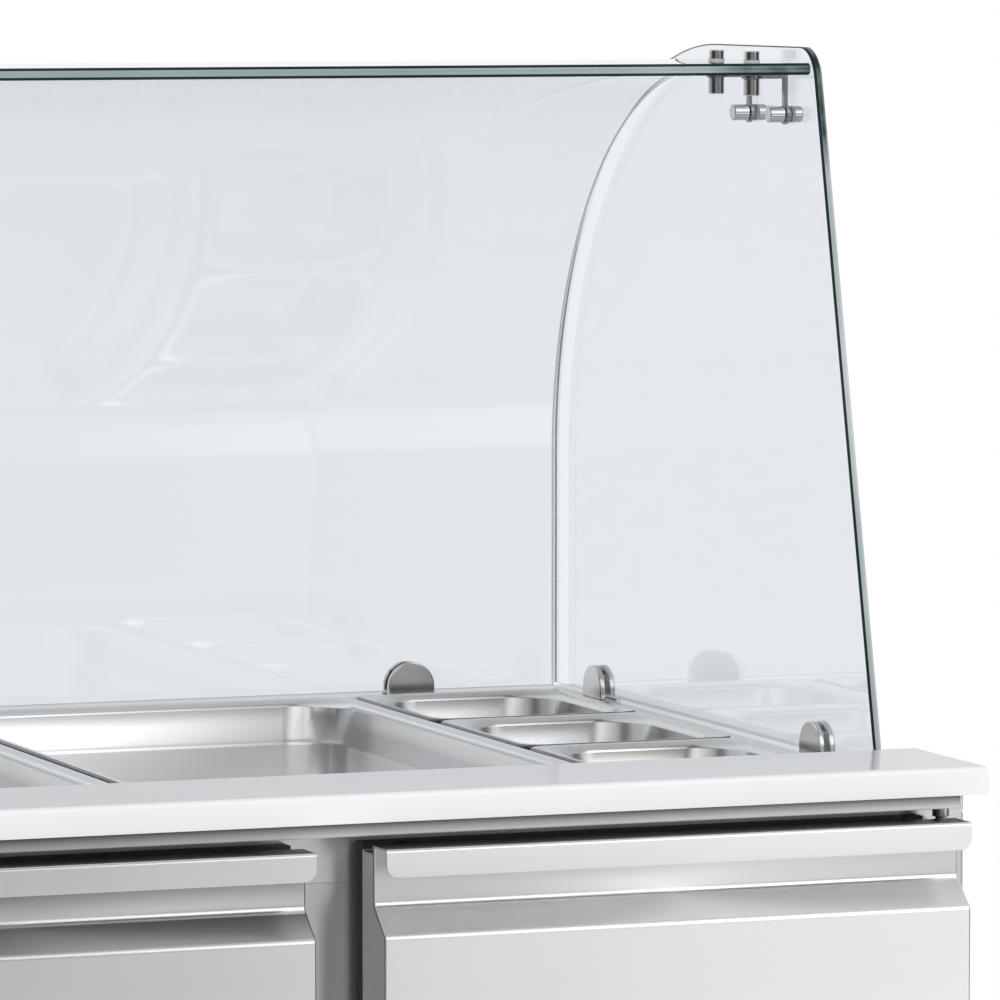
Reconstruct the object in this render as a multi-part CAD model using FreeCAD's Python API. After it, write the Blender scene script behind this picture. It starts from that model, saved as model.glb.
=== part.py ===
"""Saladette: refrigerated salad counter with two doors, gastronorm pans and a bent glass canopy.

Millimetres, +Z up, X to the operator's right, Y away from the operator.
The origin is on the floor under the middle of the bounding box.
"""
import FreeCAD
import Part
import math
import os

V = FreeCAD.Vector

# Gastronorm pans: full size and one sixth
PAN_LONG = 530.0
PAN_WIDE = 325.0
SIXTH_X = 162.0
SIXTH_Y = 176.0
PAN_FRONT = -212.0
PAN_GAP_X = 2.0
PAN_GAP_Y = 1.0
PAN_LEFT = -(2 * PAN_WIDE + SIXTH_X + 2 * PAN_GAP_X) / 2
PAN_DEPTH = 100.0
PAN_SHEET = 1.0
RIM_W = 11.0
RIM_SEAT = 9.0
RIM_T = 4.5
PAN_TAPER = 6.0
BAR_W = 16.0
BAR_H = 18.0
WELL_HALF_X = -PAN_LEFT - RIM_SEAT
WELL_FRONT = PAN_FRONT + RIM_SEAT
WELL_BACK = PAN_FRONT + PAN_LONG - RIM_SEAT

# Cabinet
BODY_HALF_W = WELL_HALF_X + 51.0
BODY_BACK = WELL_BACK + 64.0
FRAME_Y = -317.0
FRAME_BACK = -275.0
SKIN = 1.0
FOAM = 39.0
BASE_Z = 100.0
FLOOR_Z = 315.0
RAIL_BOTTOM = 804.0
FASCIA_Y = -350.0
FASCIA_BOTTOM = 837.2
FASCIA_HALF_W = BODY_HALF_W - 17.0
SIDE_TOP = 831.5
STILE_W = 46.0
MULLION_HALF_W = 40.0
BOTTOM_RAIL_H = 22.0

# Worktop, board and well
TOP_Z = 848.0
TOP_SHEET = 1.5
TOP_BACK = BODY_BACK + 3.0
TOP_EDGE_H = 18.0
BOARD_HALF_W = BODY_HALF_W + 1.5
BOARD_FRONT = -354.0
BOARD_BACK = -240.0
BOARD_Z0 = 846.0
BOARD_Z1 = 865.0
COLLAR_H = 33.0
COLLAR_Z = TOP_Z - COLLAR_H

# Glass
GLASS = 6.0
CANOPY_T = 8.0
SIDE_IN = BODY_HALF_W - 23.0
CANOPY_HALF_W = SIDE_IN - 6.5
GLASS_Z = TOP_Z + 2.0
CANOPY_BACK = BODY_BACK - 23.0
CANOPY_TOP = 1313.5
CANOPY_R = 290.0
CANOPY_FRONT = -127.0
SIDE_MARGIN = 18.5
SIDE_FOOT_Y = -226.0
SIDE_HEAD_Y = -114.5
SIDE_CORNER_R = 26.0

# Glass clamps and connectors
CLAMP_R = 18.0
CLAMP_STRAIGHT = 6.0
CLAMP_T = 4.5
PAD_T = 0.5
CLAMP_X = SIDE_IN - 122.0
CLAMP_Y = (280.0, -125.0)
LINK_Y = (-10.0, -73.0)
LINK_X = SIDE_IN - 27.0
LINK_Z = CANOPY_TOP - 28.0
LINK_BAR = 2.5
LINK_W = 5.0
LINK_EYE_R = 7.0
STUD_R = 3.0
SLEEVE_R = 5.6
SLEEVE_H = 6.5
NUT_H = 11.5
WASHER_T = 1.0

# Doors
DOOR_IN = 23.0
DOOR_OUT = BODY_HALF_W - 20.0
DOOR_Z0 = 322.0
DOOR_Z1 = 831.0
DOOR_FACE = -374.0
GRIP_Y = -353.0
GRIP_Z0 = 775.0
GRIP_Z1 = 792.5
LIP_Y = -376.0
LIP_Z = 813.0
LIP_INSET = 0.5
DOOR_BACK = -331.0
DOOR_STEP_Y = -350.0
DOOR_STEP_Z = 826.0
DOOR_SHEET = 1.2
GASKET_W = 14.0
GASKET_T = 11.5
GASKET_TOP = 830.5
GASKET_IN = 1.5
GASKET_OUT = 14.5
PIVOT_X = DOOR_OUT - 6.5
PIVOT_Y = -341.0
PIN_R = 4.0
PIN_CLEAR = 0.06

# Cold side
SHELF_Z = 500.0
WIRE_R = 2.5
EVAP_HALF_W = 190.0
EVAP_Z0 = 560.0
EVAP_Z1 = 736.0
EVAP_Y0 = 250.0
EVAP_FAN_R = 62.0
EVAP_FAN_Z = 645.0

# Condensing unit
COMP_X = BODY_HALF_W - 180.0
COMP_Y = 180.0
COMP_R = 78.0
COIL_X0 = -BODY_HALF_W + 60.0
COIL_X1 = COIL_X0 + 330.0
COIL_Y0 = -250.0
COIL_Y1 = -205.0
COND_FAN_X = (COIL_X0 + COIL_X1) / 2
COND_FAN_Z = 187.0
COND_FAN_R = 66.0

# Lower panel, controller, switch, feet
PANEL_Y = -321.0
PANEL_T = 1.5
PANEL_Z0 = 100.0
PANEL_Z1 = 296.0
CTRL_X = BODY_HALF_W - 130.0
CTRL_Z = 215.0
SWITCH_X = BODY_HALF_W - 225.0
SWITCH_Z = 215.0
SWITCH_TILT = 8.0
FOOT_X = BODY_HALF_W - 55.0
FOOT_Y = (-245.0, 315.0)
STEM_R = 8.0
PANEL_EDGE = 20.0
VENT_EDGE = 40.0
VENT_W = 170.0
VENT_GAP = 20.0
PIPE_R = 4.5
PIPE_X = COMP_X - 30.0
PIPE_Y = BODY_BACK - 28.0
PIPE_Z = 640.0
EVAP_IN_Y = BODY_BACK - 63.0
GLAND_X = BODY_HALF_W - 70.0

OUT = os.path.join(os.path.dirname(os.path.abspath(__file__)), "parts")


def box(x0, x1, y0, y1, z0, z1):
    return Part.makeBox(x1 - x0, y1 - y0, z1 - z0, V(x0, y0, z0))


def cyl(r, h, x, y, z, d=(0, 0, 1)):
    return Part.makeCylinder(r, h, V(x, y, z), V(*d))


def fuse(shapes):
    first = shapes[0]
    if len(shapes) > 1:
        first = first.multiFuse(shapes[1:])
    return first.removeSplitter()


def cut(shape, tools):
    return shape.cut(Part.makeCompound(tools))


def mirror(shape):
    return shape.mirror(V(0, 0, 0), V(1, 0, 0))


def both(shape):
    return [shape, mirror(shape)]


def save(name, shapes):
    """Write one node: a solid, or a group of separate solids."""
    if not isinstance(shapes, list):
        shapes = [shapes]
    solids = []
    for shape in shapes:
        solids += shape.Solids
    body = solids[0] if len(solids) == 1 else Part.makeCompound(solids)
    body.exportStep(os.path.join(OUT, name + ".step"))


def yz_prism(points, x0, x1):
    """Extrude a closed outline of (y, z) points along X."""
    wire = Part.makePolygon([V(x0, y, z) for y, z in points + points[:1]])
    return Part.Face(wire).extrude(V(x1 - x0, 0, 0))


def round_rect(x0, x1, y0, y1, r, z):
    """Closed wire of a rectangle with rounded corners, in a level plane."""
    edges = []
    corners = ((x1 - r, y0 + r, 270), (x1 - r, y1 - r, 0), (x0 + r, y1 - r, 90), (x0 + r, y0 + r, 180))
    last = None
    first = None
    for cx, cy, start in corners:
        arc = Part.makeCircle(r, V(cx, cy, z), V(0, 0, 1), start, start + 90)
        begin = arc.Vertexes[0].Point
        end = arc.Vertexes[-1].Point
        if last is not None:
            edges.append(Part.makeLine(last, begin))
        else:
            first = begin
        edges.append(arc)
        last = end
    edges.append(Part.makeLine(last, first))
    return Part.Wire(edges)


def round_plate(x0, x1, y0, y1, r, z0, z1):
    return Part.Face(round_rect(x0, x1, y0, y1, r, z0)).extrude(V(0, 0, z1 - z0))


def pipe(points, r):
    """Bent tube as cylinders with ball corners."""
    pieces = []
    for a, b in zip(points, points[1:]):
        a = V(*a)
        b = V(*b)
        pieces.append(Part.makeCylinder(r, (b - a).Length, a, b - a))
    for p in points[1:-1]:
        pieces.append(Part.makeSphere(r, V(*p)))
    return fuse(pieces)


def fan(x, y, z, hub_r, hub_h, tip_r, bore_r, blades, pitch):
    """Axial fan with its axis along Y; the hub starts at y and runs to y + hub_h."""
    parts = [cyl(hub_r, hub_h, x, y, z, (0, 1, 0))]
    for i in range(blades):
        blade = Part.makeBox(34.0, 1.6, tip_r - hub_r + 3.0, V(-17.0, -0.8, hub_r - 3.0))
        blade.rotate(V(0, 0, 0), V(0, 0, 1), pitch)
        blade.rotate(V(0, 0, 0), V(0, 1, 0), 360.0 * i / blades)
        blade.translate(V(x, y + hub_h / 2, z))
        parts.append(blade)
    return cut(fuse(parts), [cyl(bore_r, hub_h + 2, x, y - 1, z, (0, 1, 0))])


# Cabinet shell

def build_shell():
    side = box(BODY_HALF_W - SKIN, BODY_HALF_W, FRAME_Y, BODY_BACK, BASE_Z, TOP_Z - TOP_EDGE_H)
    save("side_panels", both(side))

    rear = box(-BODY_HALF_W + SKIN, BODY_HALF_W - SKIN, BODY_BACK - SKIN, BODY_BACK, BASE_Z, TOP_Z - TOP_EDGE_H)
    slots = []
    for row in range(9):
        z = 122.0 + 14.0 * row
        for x0 in (70.0 - BODY_HALF_W, 270.0 - BODY_HALF_W, 470.0 - BODY_HALF_W):
            slots.append(box(x0, x0 + 160.0, BODY_BACK - 5, BODY_BACK + 5, z, z + 6.0))
    slots.append(cyl(10.3, 10, GLAND_X, BODY_BACK - 5, 150, (0, 1, 0)))
    save("rear_panel", cut(rear, slots))

    inner = BODY_HALF_W - SKIN
    base = box(-inner, inner, FRAME_Y, BODY_BACK - SKIN, BASE_Z, BASE_Z + 2)
    save("base_tray", base)

    foam_in = inner - FOAM
    foam_back = BODY_BACK - SKIN
    foam_rear = foam_back - FOAM
    under_top = TOP_Z - TOP_EDGE_H
    left = box(-inner, -foam_in, FRAME_BACK, foam_back, FLOOR_Z - SKIN - FOAM, under_top)
    rear_slab = box(-foam_in, foam_in, foam_rear, foam_back, FLOOR_Z - SKIN - FOAM, under_top)
    rear_slab = cut(rear_slab, [box(PIPE_X - 7, PIPE_X + 7, foam_rear - 1, PIPE_Y + 7, FLOOR_Z - 50, PIPE_Z + 7)])
    floor = box(-foam_in, foam_in, FRAME_BACK, foam_rear, FLOOR_Z - SKIN - FOAM, FLOOR_Z - SKIN)
    save("insulation", [left, mirror(left), rear_slab, floor])

    outer = box(-foam_in, foam_in, FRAME_BACK, foam_rear, FLOOR_Z - SKIN, under_top)
    room = box(-foam_in + SKIN, foam_in - SKIN, FRAME_BACK - 1, foam_rear - SKIN, FLOOR_Z, under_top + 1)
    save("inner_liner", cut(outer, [room, cyl(PIPE_R + 0.5, 10, PIPE_X, foam_rear - 5, PIPE_Z, (0, 1, 0))]))


def build_front_frame():
    t = TOP_SHEET
    w = BODY_HALF_W
    nose_w = FASCIA_HALF_W
    room_w = w - SKIN - t
    rail = fuse([
        box(-w, w, FRAME_Y, FRAME_BACK, RAIL_BOTTOM, BOARD_Z0),
        box(-nose_w, nose_w, FASCIA_Y, FRAME_Y + t, FASCIA_BOTTOM, BOARD_Z0),
    ])
    hollow = [
        box(-room_w, room_w, FRAME_Y + t, FRAME_BACK - t, RAIL_BOTTOM + t, BOARD_Z0 - t),
        box(-nose_w + t, nose_w - t, FASCIA_Y + t, FRAME_Y + t + 1, FASCIA_BOTTOM + t, BOARD_Z0 - t),
    ]
    lower_notch = both(box(w - SKIN, w + 1, FRAME_Y - 1, 0, RAIL_BOTTOM - 1, SIDE_TOP))
    pin_holes = both(cyl(PIN_R, 4, PIVOT_X, PIVOT_Y, FASCIA_BOTTOM - 1))
    save("top_rail", cut(rail, hollow + lower_notch + pin_holes))

    mullion = box(-MULLION_HALF_W, MULLION_HALF_W, FRAME_Y, FRAME_BACK, FLOOR_Z, RAIL_BOTTOM)
    core = box(-MULLION_HALF_W + t, MULLION_HALF_W - t, FRAME_Y + t, FRAME_BACK - t, FLOOR_Z - 1, RAIL_BOTTOM + 1)

    edge = BODY_HALF_W - SKIN
    stile = box(edge - STILE_W, edge, FRAME_Y, FRAME_BACK, FLOOR_Z, RAIL_BOTTOM)
    sill = box(-edge, edge, FRAME_Y, FRAME_BACK, FLOOR_Z - BOTTOM_RAIL_H, FLOOR_Z)
    save("front_frame", both(stile) + [sill, cut(mullion, [core])])


# Worktop with the pan well

def build_worktop():
    t = TOP_SHEET
    z = TOP_Z
    w = BODY_HALF_W
    front = BOARD_BACK + 1
    parts = [
        box(-w, w, front, TOP_BACK, z - t, z),
        box(-w, -w + t, front, TOP_BACK, z - TOP_EDGE_H, z),
        box(w - t, w, front, TOP_BACK, z - TOP_EDGE_H, z),
        box(-w, -w + t, FRAME_BACK, front, z - TOP_EDGE_H, BOARD_Z0),
        box(w - t, w, FRAME_BACK, front, z - TOP_EDGE_H, BOARD_Z0),
        box(-w, w, TOP_BACK - t, TOP_BACK, z - TOP_EDGE_H, z),
        box(-w, w, front, front + t, BOARD_Z0 - t, z),
        box(-w, w, FRAME_BACK, front + t, BOARD_Z0 - t, BOARD_Z0),
        box(-WELL_HALF_X - t, WELL_HALF_X + t, WELL_FRONT - t, WELL_BACK + t, COLLAR_Z, z),
    ]
    well = box(-WELL_HALF_X, WELL_HALF_X, WELL_FRONT, WELL_BACK, COLLAR_Z - 1, z + 1)
    save("worktop_frame", cut(fuse(parts), [well]))

    board = box(-BOARD_HALF_W, BOARD_HALF_W, BOARD_FRONT, BOARD_BACK, BOARD_Z0, BOARD_Z1)
    top_edges = [e for e in board.Edges if all(abs(v.Z - BOARD_Z1) < 0.01 for v in e.Vertexes)]
    save("worktop_board", board.makeFillet(4.0, top_edges))

    bar_x = (PAN_LEFT + PAN_WIDE + PAN_GAP_X / 2, PAN_LEFT + 2 * PAN_WIDE + 1.5 * PAN_GAP_X)
    bars = [box(x - BAR_W / 2, x + BAR_W / 2, WELL_FRONT, WELL_BACK, z - BAR_H, z) for x in bar_x]
    for i in (1, 2):
        y = PAN_FRONT + i * SIXTH_Y + (i - 0.5) * PAN_GAP_Y
        bars.append(box(bar_x[1] + BAR_W / 2, WELL_HALF_X, y - 7, y + 7, z - BAR_H, z))
    save("pan_bars", bars)


def pan(x0, x1, y0, y1, corner, rim_corner):
    """Gastronorm pan: flat rim on top of a tapered tub with rounded corners."""
    z = TOP_Z
    low = z - PAN_DEPTH
    a = RIM_W
    b = RIM_W + PAN_TAPER
    s = PAN_SHEET
    rim = round_plate(x0, x1, y0, y1, rim_corner, z, z + RIM_T)
    tub = Part.makeLoft([round_rect(x0 + a, x1 - a, y0 + a, y1 - a, corner, z + RIM_T),
                         round_rect(x0 + b, x1 - b, y0 + b, y1 - b, corner - 4, low)], True, True)
    a += s
    b += s
    space = Part.makeLoft([round_rect(x0 + a, x1 - a, y0 + a, y1 - a, corner - s, z + RIM_T),
                           round_rect(x0 + b, x1 - b, y0 + b, y1 - b, corner - 4 - s, low + s)], True, True)
    return fuse([rim, tub]).cut(space)


def build_pans():
    x = PAN_LEFT
    back = PAN_FRONT + PAN_LONG
    for name in ("pan_left", "pan_middle"):
        save(name, pan(x, x + PAN_WIDE, PAN_FRONT, back, 28.0, 14.0))
        x += PAN_WIDE + PAN_GAP_X
    y = PAN_FRONT
    for name in ("pan_sixth_front", "pan_sixth_middle", "pan_sixth_rear"):
        save(name, pan(x, x + SIXTH_X, y, y + SIXTH_Y, 26.0, 12.0))
        y += SIXTH_Y + PAN_GAP_Y


# Glass canopy

def canopy_centre():
    return CANOPY_BACK - CANOPY_R, CANOPY_TOP - CANOPY_R


def yz_arc(cy, cz, r, x, a0, a1):
    """Arc in a YZ plane; angles in degrees from +Y towards +Z."""
    mid = math.radians((a0 + a1) / 2)
    ends = [V(x, cy + r * math.cos(math.radians(a)), cz + r * math.sin(math.radians(a))) for a in (a0, a1)]
    return Part.Arc(ends[0], V(x, cy + r * math.cos(mid), cz + r * math.sin(mid)), ends[1]).toShape()


def build_glass():
    cy, cz = canopy_centre()
    x = -CANOPY_HALF_W
    r0 = CANOPY_R
    r1 = CANOPY_R + CANOPY_T
    back = CANOPY_BACK
    top = CANOPY_TOP
    wire = Part.Wire([
        Part.makeLine(V(x, back, GLASS_Z), V(x, back, cz)),
        yz_arc(cy, cz, r0, x, 0, 90),
        Part.makeLine(V(x, cy, top), V(x, CANOPY_FRONT, top)),
        Part.makeLine(V(x, CANOPY_FRONT, top), V(x, CANOPY_FRONT, top + CANOPY_T)),
        Part.makeLine(V(x, CANOPY_FRONT, top + CANOPY_T), V(x, cy, top + CANOPY_T)),
        yz_arc(cy, cz, r1, x, 90, 0),
        Part.makeLine(V(x, back + CANOPY_T, cz), V(x, back + CANOPY_T, GLASS_Z)),
        Part.makeLine(V(x, back + CANOPY_T, GLASS_Z), V(x, back, GLASS_Z)),
    ])
    canopy = Part.Face(wire).extrude(V(2 * CANOPY_HALF_W, 0, 0))
    holes = [cyl(STUD_R + 0.5, 30, sx * LINK_X, y, top - 10) for y in LINK_Y for sx in (-1, 1)]
    save("canopy_glass", cut(canopy, holes))

    x = SIDE_IN
    r = CANOPY_R + SIDE_MARGIN
    head = cz + r
    wire = Part.Wire([
        Part.makeLine(V(x, SIDE_FOOT_Y, GLASS_Z), V(x, cy + r, GLASS_Z)),
        Part.makeLine(V(x, cy + r, GLASS_Z), V(x, cy + r, cz)),
        yz_arc(cy, cz, r, x, 0, 90),
        Part.makeLine(V(x, cy, head), V(x, SIDE_HEAD_Y, head)),
        Part.makeLine(V(x, SIDE_HEAD_Y, head), V(x, SIDE_FOOT_Y, GLASS_Z)),
    ])
    side = Part.Face(wire).extrude(V(GLASS, 0, 0))
    corner = [e for e in side.Edges
              if all(abs(v.Y - SIDE_HEAD_Y) < 0.01 and abs(v.Z - head) < 0.01 for v in e.Vertexes)]
    side = side.makeFillet(SIDE_CORNER_R, corner)
    side = cut(side, [cyl(STUD_R + 0.5, 30, x - 10, y, LINK_Z, (1, 0, 0)) for y in LINK_Y])
    save("side_glasses", both(side))


def cheek(t):
    """Half-round clamp cheek standing on Z = 0, its flat faces across Y, from Y = 0 to t."""
    r = CLAMP_R
    s = CLAMP_STRAIGHT
    block = box(-r, r, 0, t, 0, s)
    disc = cyl(r, t, 0, 0, s, (0, 1, 0))
    disc = disc.common(box(-r - 1, r + 1, -1, t + 1, s - 0.01, s + r + 1))
    return fuse([block, disc])


def place(shape, angle, x, y, z):
    shape = shape.copy()
    shape.rotate(V(0, 0, 0), V(0, 0, 1), angle)
    shape.translate(V(x, y, z))
    return shape


def clamp_set(gap):
    """Cheeks, screw and pads of one clamp round a glass of that thickness, glass from Y = 0."""
    inner = cheek(CLAMP_T)
    inner.translate(V(0, -CLAMP_T - PAD_T, 0))
    far = gap + PAD_T
    outer = cheek(CLAMP_T)
    outer.translate(V(0, far, 0))
    hole_z = CLAMP_STRAIGHT + 7.0
    outer = cut(outer, [cyl(3.0, CLAMP_T + 2, 0, far - 1, hole_z, (0, 1, 0))])
    screw = cyl(3.0, CLAMP_T - 0.5, 0, far, hole_z, (0, 1, 0))
    screw = cut(screw, [cyl(1.5, 2, 0, far + CLAMP_T - 2, hole_z, (0, 1, 0))])
    pads = [box(-14, 14, -PAD_T, 0, 2, 18), box(-14, 14, gap, far, 2, 18)]
    return [inner, outer], screw, pads


def build_clamps():
    """Save the clamps; return their soft pads."""
    spots = [(0, CLAMP_X, CANOPY_BACK, CANOPY_T), (0, -CLAMP_X, CANOPY_BACK, CANOPY_T)]
    for y in CLAMP_Y:
        spots += [(-90, SIDE_IN, y, GLASS), (90, -SIDE_IN, y, GLASS)]
    cheeks = []
    screws = []
    soft = []
    for a, x, y, gap in spots:
        pair, screw, pads = clamp_set(gap)
        cheeks += [place(s, a, x, y, TOP_Z) for s in pair]
        screws.append(place(screw, a, x, y, TOP_Z))
        soft += [place(s, a, x, y, TOP_Z) for s in pads]
    save("clamp_cheeks", cheeks)
    save("clamp_screws", screws)
    return soft


def ring(r, hole, h, x, y, z, d):
    return cut(cyl(r, h, x, y, z, d), [cyl(hole, h + 2, x - d[0], y - d[1], z - d[2], d)])


def build_links():
    """Save the bars, sleeves and studs that join canopy and side glass; return their soft washers."""
    bars = []
    sleeves = []
    studs = []
    washers = []
    up = (0, 0, 1)
    right = (1, 0, 0)
    over = CANOPY_TOP + CANOPY_T
    bar_top = CANOPY_TOP - WASHER_T
    bar_low = bar_top - LINK_BAR
    out = SIDE_IN + GLASS
    leg_out = SIDE_IN - WASHER_T
    leg_in = leg_out - LINK_BAR
    h = LINK_W / 2
    for y in LINK_Y:
        bar = fuse([
            cyl(LINK_EYE_R, LINK_BAR, LINK_X, y, bar_low),
            box(LINK_X, leg_out, y - h, y + h, bar_low, bar_top),
            box(leg_in, leg_out, y - h, y + h, LINK_Z, bar_top),
            cyl(LINK_EYE_R, LINK_BAR, leg_in, y, LINK_Z, right),
        ])
        holes = [cyl(STUD_R, 20, LINK_X, y, bar_low - 10), cyl(STUD_R, 20, leg_in - 10, y, LINK_Z, right)]
        bars.append(cut(bar, holes))
        washers += [ring(SLEEVE_R, STUD_R, WASHER_T, LINK_X, y, bar_top, up),
                    ring(SLEEVE_R, STUD_R, WASHER_T, LINK_X, y, over, up),
                    ring(SLEEVE_R, STUD_R, WASHER_T, leg_out, y, LINK_Z, right),
                    ring(SLEEVE_R, STUD_R, WASHER_T, out, y, LINK_Z, right)]
        sleeves += [ring(SLEEVE_R, STUD_R, NUT_H, LINK_X, y, bar_low - NUT_H, up),
                    ring(SLEEVE_R, STUD_R, SLEEVE_H, LINK_X, y, over + WASHER_T, up),
                    ring(SLEEVE_R, STUD_R, NUT_H, leg_in - NUT_H, y, LINK_Z, right),
                    ring(SLEEVE_R, STUD_R, SLEEVE_H, out + WASHER_T, y, LINK_Z, right)]
        v0 = bar_low - NUT_H
        h0 = leg_in - NUT_H
        studs += [cyl(STUD_R, over + WASHER_T + SLEEVE_H - v0, LINK_X, y, v0),
                  cyl(STUD_R, out + WASHER_T + SLEEVE_H - h0, h0, y, LINK_Z, right)]
    for name, group in (("link_bars", bars), ("link_sleeves", sleeves), ("link_studs", studs)):
        save(name, group + [mirror(s) for s in group])
    return washers + [mirror(s) for s in washers]


# Doors

def build_doors():
    t = DOOR_SHEET
    z0 = DOOR_Z0
    z1 = DOOR_Z1
    outline = [(DOOR_FACE, z0), (DOOR_FACE, GRIP_Z0), (GRIP_Y, GRIP_Z1), (GRIP_Y, z1), (DOOR_STEP_Y, z1),
               (DOOR_STEP_Y, DOOR_STEP_Z), (DOOR_BACK, DOOR_STEP_Z), (DOOR_BACK, z0)]
    bend = t * 0.7
    core_outline = [(DOOR_FACE + t, z0 + t), (DOOR_FACE + t, GRIP_Z0 - bend + t), (GRIP_Y + t, GRIP_Z1 - bend + t),
                    (GRIP_Y + t, DOOR_STEP_Z - t), (DOOR_BACK, DOOR_STEP_Z - t), (DOOR_BACK, z0 + t)]
    a = DOOR_IN
    b = DOOR_OUT
    shell = yz_prism(outline, a, b)
    core = yz_prism(core_outline, a + t, b - t)
    lip = (a + LIP_INSET, b - LIP_INSET)
    lip_top = box(*lip, LIP_Y, GRIP_Y + t, z1 - t, z1)
    flap = box(*lip, LIP_Y, LIP_Y + t, LIP_Z, z1)
    corners = [e for e in flap.Edges if all(abs(v.Z - LIP_Z) < 0.01 for v in e.Vertexes)
               and abs(e.Vertexes[0].X - e.Vertexes[1].X) < 0.01]
    flap = flap.makeFillet(8.0, corners)
    pins = [cyl(PIN_R + PIN_CLEAR, 18, PIVOT_X, PIVOT_Y, z1 - 17), cyl(PIN_R + PIN_CLEAR, 18, PIVOT_X, PIVOT_Y, z0 - 1)]
    skin = cut(fuse([shell.cut(core), lip_top, flap]), pins)
    core = cut(core, pins)
    liner = box(a + 1, b - 1, DOOR_BACK, DOOR_BACK + 2, z0 + 1, DOOR_STEP_Z)
    y = DOOR_BACK + 2
    left = a + GASKET_IN
    right = b - GASKET_OUT
    g = GASKET_W
    seal = box(left, right, y, y + GASKET_T, z0 + 5, GASKET_TOP)
    seal = cut(seal, [box(left + g, right - g, y - 1, y + 20, z0 + 5 + g, GASKET_TOP - g)])
    apron = box(a + 27, b - 30, DOOR_STEP_Y, y + 1, DOOR_STEP_Z, GASKET_TOP)
    seal = fuse([seal, apron])
    for node, shape in (("skin", skin), ("core", core), ("liner", liner), ("gasket", seal)):
        save("door_right_" + node, shape)
        save("door_left_" + node, mirror(shape))

    seat = FASCIA_BOTTOM + TOP_SHEET
    upper = fuse([
        cyl(PIN_R, seat + 2 - (z1 - 15), PIVOT_X, PIVOT_Y, z1 - 15),
        cyl(6.0, FASCIA_BOTTOM - z1 - 0.6, PIVOT_X, PIVOT_Y, z1 + 0.6),
        cyl(6.5, 2.5, PIVOT_X, PIVOT_Y, seat),
    ])
    x0 = PIVOT_X - 13
    x1 = PIVOT_X + 13
    foot = box(x0, x1, PIVOT_Y - 12, FRAME_Y, z0 - 3, z0 - 1)
    strap = box(x0, x1, FRAME_Y - 2, FRAME_Y, z0 - 24, z0 - 1)
    lower = fuse([foot, strap, cyl(PIN_R, 17, PIVOT_X, PIVOT_Y, z0 - 2)])
    save("hinge_brackets", both(upper) + both(lower))


# Cold compartment

def build_cold_side():
    r = WIRE_R
    x0 = 15.0
    x1 = 402.0
    y0 = -252.0
    y1 = 238.0
    z = SHELF_Z + r
    rods = [pipe([(x0 + r, y0 + r, z), (x1 - r, y0 + r, z), (x1 - r, y1 - r, z), (x0 + r, y1 - r, z),
                  (x0 + r, y0 + r, z)], r)]
    rods.append(Part.makeSphere(r, V(x0 + r, y0 + r, z)))
    step = (x1 - x0 - 2 * r) / 14
    for i in range(1, 14):
        rods.append(cyl(1.5, y1 - y0 - 2 * r, x0 + r + i * step, y0 + r, z, (0, 1, 0)))
    for y in (-90.0, 75.0):
        rods.append(cyl(2.0, x1 - x0 - 2 * r, x0 + r, y, z, (1, 0, 0)))
    save("shelves", both(fuse(rods)))

    wall = BODY_HALF_W - 2 * SKIN - FOAM
    back = BODY_BACK - 2 * SKIN - FOAM
    rail = fuse([box(wall - 22, wall, FRAME_BACK, y1 + 20, SHELF_Z - 2, SHELF_Z),
                 box(wall - 2, wall, FRAME_BACK, y1 + 20, SHELF_Z - 22, SHELF_Z)])
    centre = box(-26, 26, FRAME_BACK, back, SHELF_Z - 12, SHELF_Z)
    save("shelf_supports", both(rail) + [centre])

    w = EVAP_HALF_W
    cover = box(-w, w, EVAP_Y0, back, EVAP_Z0, EVAP_Z1)
    space = box(-w + 1.5, w - 1.5, EVAP_Y0 + 1.5, back + 1, EVAP_Z0 - 1, EVAP_Z1 - 1.5)
    mouth = cyl(EVAP_FAN_R + 4, 10, -80, EVAP_Y0 - 5, EVAP_FAN_Z, (0, 1, 0))
    inlet = cyl(PIPE_R + 0.5, 10, w - 5, EVAP_IN_Y, PIPE_Z, (1, 0, 0))
    save("evaporator_cover", cut(cover, [space, mouth, inlet]))
    fins = [box(20 + 6.0 * i, 21 + 6.0 * i, 272, 318, 580, 720) for i in range(26)]
    tubes = []
    for z in (600, 630, 660, 690):
        tubes.append(cyl(5, 164, 13, 285, z, (1, 0, 0)))
        tubes.append(cyl(5, 164, 13, 305, z, (1, 0, 0)))
    ends = [box(12, 14, 268, back, 575, 725), box(176, 178, 268, back, 575, 725)]
    save("evaporator_coil", fuse(fins + tubes + ends))
    motor = fuse([cyl(26, 40, -80, 285, EVAP_FAN_Z, (0, 1, 0)), box(-128, -32, 312, back, EVAP_FAN_Z - 14, EVAP_FAN_Z + 14),
                  cyl(3, 30, -80, 258, EVAP_FAN_Z, (0, 1, 0))])
    save("evaporator_motor", motor)
    save("evaporator_fan", fan(-80, 260, EVAP_FAN_Z, 18, 18, EVAP_FAN_R, 3.05, 5, 28))


# Condensing unit

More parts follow.
